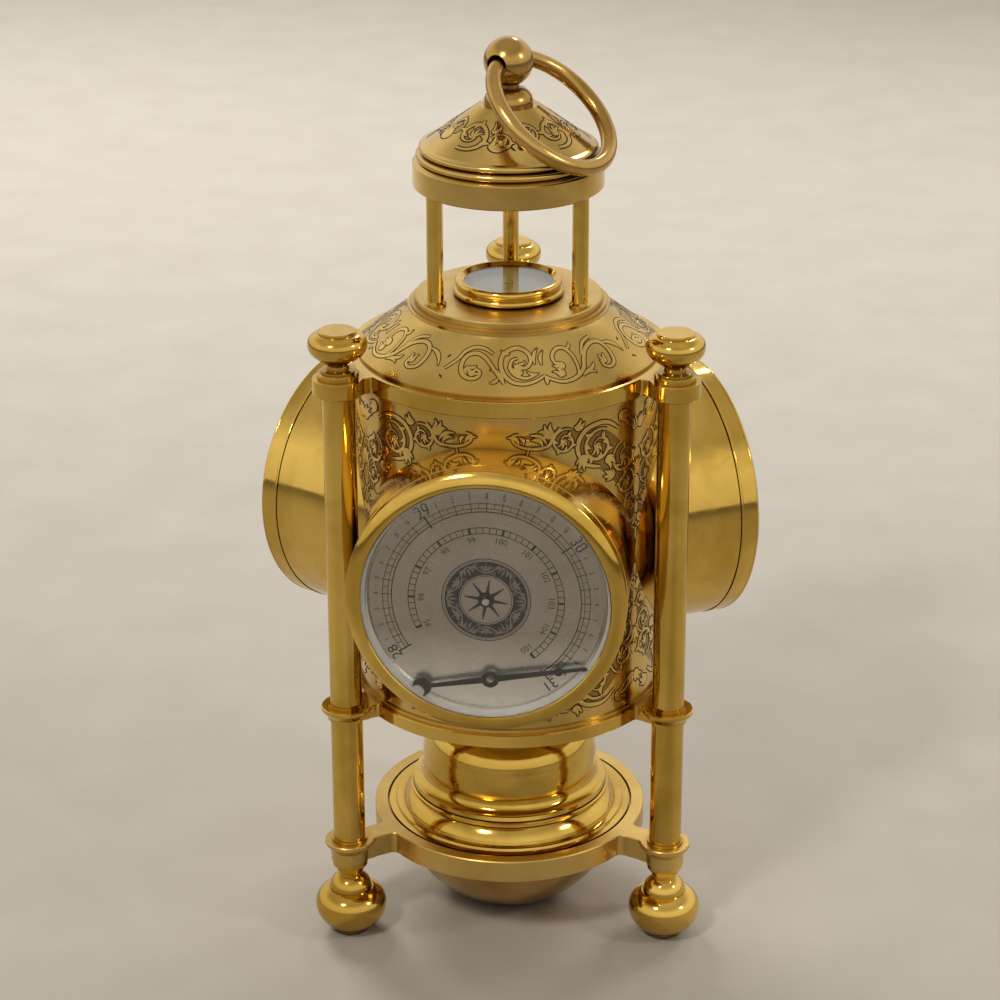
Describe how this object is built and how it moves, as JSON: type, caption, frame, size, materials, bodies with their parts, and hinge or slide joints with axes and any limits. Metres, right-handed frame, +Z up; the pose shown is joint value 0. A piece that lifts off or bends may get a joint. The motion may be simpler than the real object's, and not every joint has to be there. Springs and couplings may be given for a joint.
{
  "type": "weather station clock",
  "caption": "Brass desk weather station: barometer, clock and thermometer in drums on a round columned body, with a compass under a small canopy and a carrying ring.",
  "frame": {"origin": "on the vertical axis through the body, at the surface that the feet stand on", "axes": "+Z up, -Y towards a person facing the barometer, whose drum is turned 4.6 degrees to the left of -Y, +X to that person's right"},
  "size_m": [0.1476, 0.1346, 0.2698],
  "materials": {
    "brass": "polished and lacquered",
    "engraved_brass": "polished, engraved and darkened in the lines",
    "satin_brass": "satin",
    "works_brass": "as cut",
    "glass": "clear",
    "silvered": "silvered satin with a black print",
    "case_steel": "plated sheet",
    "steel": "turned",
    "blackened_steel": "blackened",
    "movement_plastic": "moulded",
    "battery_jacket": "wrapped",
    "compass_card": "matt",
    "needle_steel": "blued"
  },
  "bodies": {
    "stand": {"foot_left": "brass", "foot_right": "brass", "foot_rear": "brass", "lower_column_left": "brass", "lower_column_right": "brass", "lower_column_rear": "brass", "upper_column_left": "brass", "upper_column_right": "brass", "upper_column_rear": "brass", "finial_left": "brass", "finial_right": "brass", "finial_rear": "brass", "lower_plate": "satin_brass", "middle_plate": "brass", "top_plate": "brass", "base_bowl": "brass", "tie_bolt": "steel", "pedestal": "brass", "body_shell": "engraved_brass", "barometer_drum": "brass", "clock_drum": "brass", "thermometer_drum": "brass", "roof": "engraved_brass", "roof_screws": "steel", "cupola_floor": "brass", "cupola_posts": "brass", "canopy": "engraved_brass", "ring_ball": "brass", "compass_case": "brass", "compass_card": "compass_card", "compass_pivot": "works_brass", "compass_glass": "glass", "compass_bezel": "brass"},
    "ring": {"carry_ring": "satin_brass"},
    "compass_pointer": {"compass_needle": "needle_steel"},
    "barometer_insert": {"barometer_bezel": "brass", "barometer_glass": "glass", "barometer_dial": "silvered", "barometer_case": "case_steel", "barometer_capsule": "works_brass"},
    "barometer_spindle": {"barometer_arbor": "steel"},
    "barometer_quadrant": {"barometer_sector": "works_brass"},
    "barometer_index": {"barometer_pointer": "blackened_steel"},
    "clock_insert": {"clock_bezel": "brass", "clock_glass": "glass", "clock_dial": "silvered", "clock_case": "case_steel", "clock_movement": "movement_plastic", "clock_battery": "battery_jacket"},
    "clock_minutes": {"clock_minute_arbor": "works_brass", "clock_minute_hand": "blackened_steel"},
    "clock_hours": {"clock_hour_wheel": "works_brass", "clock_hour_hand": "blackened_steel"},
    "clock_motion": {"clock_minute_wheel": "works_brass"},
    "thermometer_insert": {"thermometer_bezel": "brass", "thermometer_glass": "glass", "thermometer_dial": "silvered", "thermometer_case": "case_steel", "thermometer_coil": "works_brass"},
    "thermometer_index": {"thermometer_pointer": "blackened_steel"}
  },
  "joints": [
    {"name": "ring_swing", "type": "hinge", "parent": "stand", "child": "ring", "pos_m": [0, 0, 0.26278], "axis": [-0.5, -0.866, 0], "range_deg": [0, 263]},
    {"name": "needle_turn", "type": "hinge", "parent": "stand", "child": "compass_pointer", "pos_m": [0, 0, 0.19682], "axis": [0, 0, 1], "continuous": true},
    {"name": "barometer_pull", "type": "slide", "parent": "stand", "child": "barometer_insert", "axis": [-0.0802, -0.9968, 0], "range_m": [0, 0.025]},
    {"name": "clock_pull", "type": "slide", "parent": "stand", "child": "clock_insert", "axis": [0.9033, 0.4289, 0], "range_m": [0, 0.025]},
    {"name": "thermometer_pull", "type": "slide", "parent": "stand", "child": "thermometer_insert", "axis": [-0.8231, 0.5678, 0], "range_m": [0, 0.025]},
    {"name": "barometer_arbor_turn", "type": "hinge", "parent": "barometer_insert", "child": "barometer_spindle", "pos_m": [-0.0048, -0.05971, 0.1253], "axis": [-0.0802, -0.9968, 0], "range_deg": [-150, 150]},
    {"name": "barometer_sector_turn", "type": "hinge", "parent": "barometer_insert", "child": "barometer_quadrant", "pos_m": [-0.02122, -0.04555, 0.1253], "axis": [-0.0802, -0.9968, 0], "range_deg": [-25, 25]},
    {"name": "barometer_pointer_rise", "type": "slide", "parent": "barometer_insert", "child": "barometer_index", "axis": [-0.0532, 0.0043, 0.9986], "range_m": [0, 0.02335]},
    {"name": "clock_minute_turn", "type": "hinge", "parent": "clock_insert", "child": "clock_minutes", "pos_m": [0.05411, 0.02569, 0.1253], "axis": [0.9033, 0.4289, 0], "continuous": true},
    {"name": "clock_hour_turn", "type": "hinge", "parent": "clock_insert", "child": "clock_hours", "pos_m": [0.05411, 0.02569, 0.1253], "axis": [0.9033, 0.4289, 0], "continuous": true},
    {"name": "clock_motion_turn", "type": "hinge", "parent": "clock_insert", "child": "clock_motion", "pos_m": [0.04255, 0.0202, 0.1133], "axis": [0.9033, 0.4289, 0], "continuous": true},
    {"name": "thermometer_pointer_turn", "type": "hinge", "parent": "thermometer_insert", "child": "thermometer_index", "pos_m": [-0.04931, 0.03401, 0.1253], "axis": [-0.8231, 0.5678, 0], "range_deg": [-135, 135]}
  ],
  "couplings": [
    {"joint": "barometer_sector_turn", "follows": "barometer_arbor_turn", "ratio": -0.16667},
    {"joint": "clock_motion_turn", "follows": "clock_minute_turn", "ratio": -0.33333},
    {"joint": "clock_hour_turn", "follows": "clock_minute_turn", "ratio": 0.083333}
  ]
}
